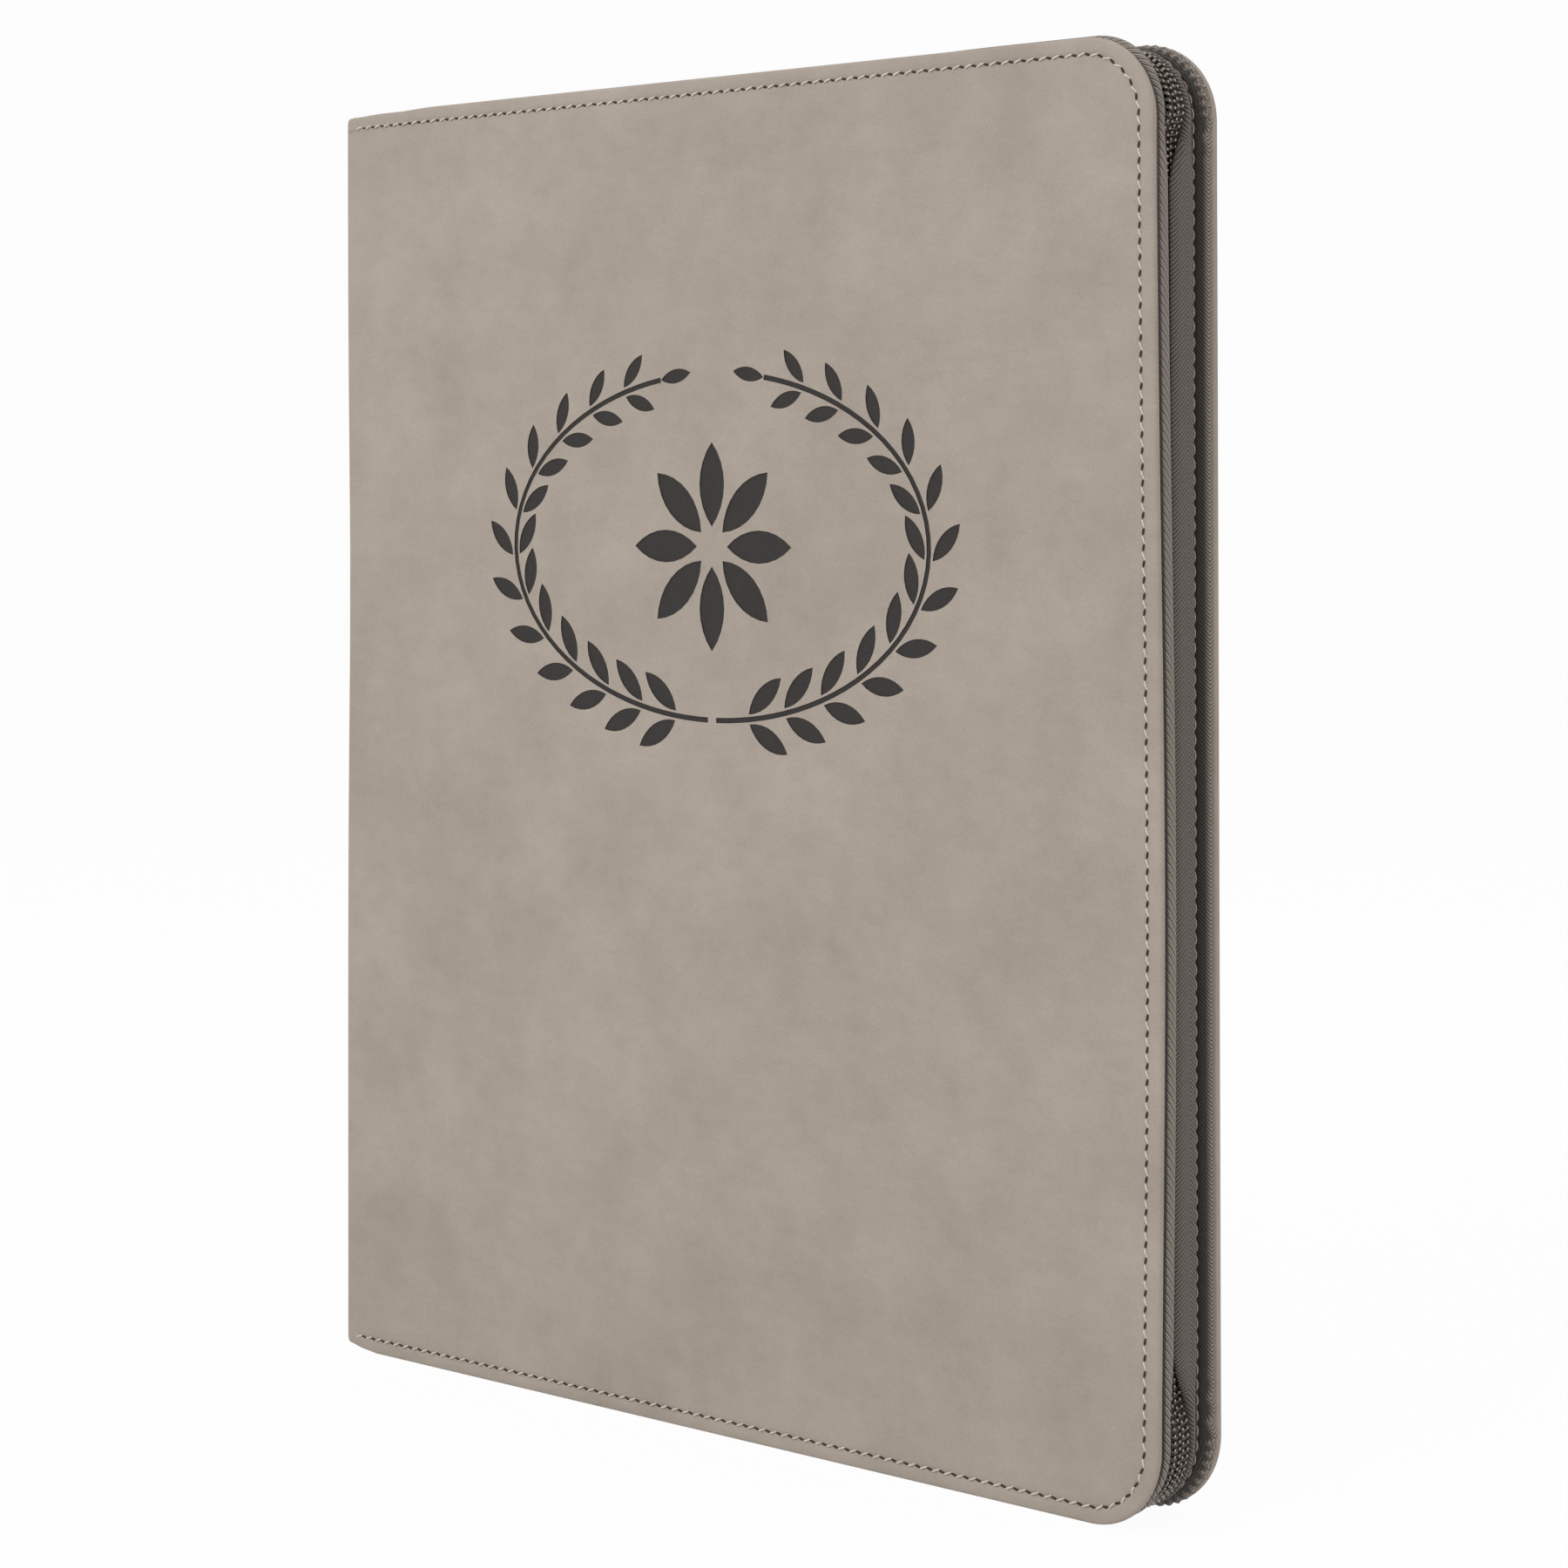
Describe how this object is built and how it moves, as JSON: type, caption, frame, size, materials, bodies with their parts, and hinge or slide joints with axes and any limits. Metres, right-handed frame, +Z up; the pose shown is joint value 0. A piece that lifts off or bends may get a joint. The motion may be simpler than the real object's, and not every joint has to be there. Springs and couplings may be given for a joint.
{
  "type": "zippered portfolio",
  "caption": "Zip-round writing portfolio with two stiff covers, folding spine, letter-size pad, pen loop and inner pockets.",
  "frame": {"origin": "middle of the lower edges that the closed portfolio stands on", "axes": "+X from the spine to the zip side, -Y out of the front cover, +Z up"},
  "size_m": [0.2414, 0.0222, 0.3052],
  "materials": {
    "leatherette": "matte, suede-like",
    "board": "matte",
    "lining": "fine twill",
    "thread": "matte",
    "tape": "herringbone weave",
    "coil": "satin nylon",
    "zip_metal": "dark nickel",
    "paper": "matte",
    "binding": "gummed cloth",
    "elastic": "ribbed elastic"
  },
  "bodies": {
    "back": {"back_cover": "leatherette", "back_board": "board", "back_lining": "lining", "back_seam": "thread", "back_gusset": "tape", "back_zip_tape": "tape", "back_zip_coil": "coil", "upper_zip_stop": "zip_metal", "lower_zip_stop": "zip_metal", "pad_backing": "board", "pad_pocket": "lining", "pad_sheets": "paper", "pad_binding": "binding", "pen_loop": "elastic"},
    "spine": {"spine_cover": "leatherette", "spine_lining": "lining", "spine_lower_seam": "thread", "spine_upper_seam": "thread"},
    "front": {"front_cover": "leatherette", "front_board": "board", "front_lining": "lining", "front_seam": "thread", "front_zip_tape": "tape", "front_zip_coil": "coil", "document_pocket": "lining", "card_pocket_back": "lining", "card_pocket_middle": "lining", "card_pocket_front": "lining"},
    "slider": {"zip_slider": "zip_metal"},
    "pull": {"zip_pull": "zip_metal"}
  },
  "joints": [
    {"name": "back_fold", "type": "hinge", "parent": "back", "child": "spine", "pos_m": [-0.12065, 0.0111, 0.1524], "axis": [0, 0, -1], "range_deg": [0, 90]},
    {"name": "front_fold", "type": "hinge", "parent": "spine", "child": "front", "pos_m": [-0.12065, -0.0111, 0.1524], "axis": [0, 0, -1], "range_deg": [0, 90]},
    {"name": "slider_run", "type": "slide", "parent": "back", "child": "slider", "axis": [1, 0, 0], "range_m": [0, 0.17]},
    {"name": "pull_swing", "type": "hinge", "parent": "slider", "child": "pull", "pos_m": [-0.08865, -0.0009, 0.3035], "axis": [0, -1, 0], "range_deg": [0, 175]}
  ]
}
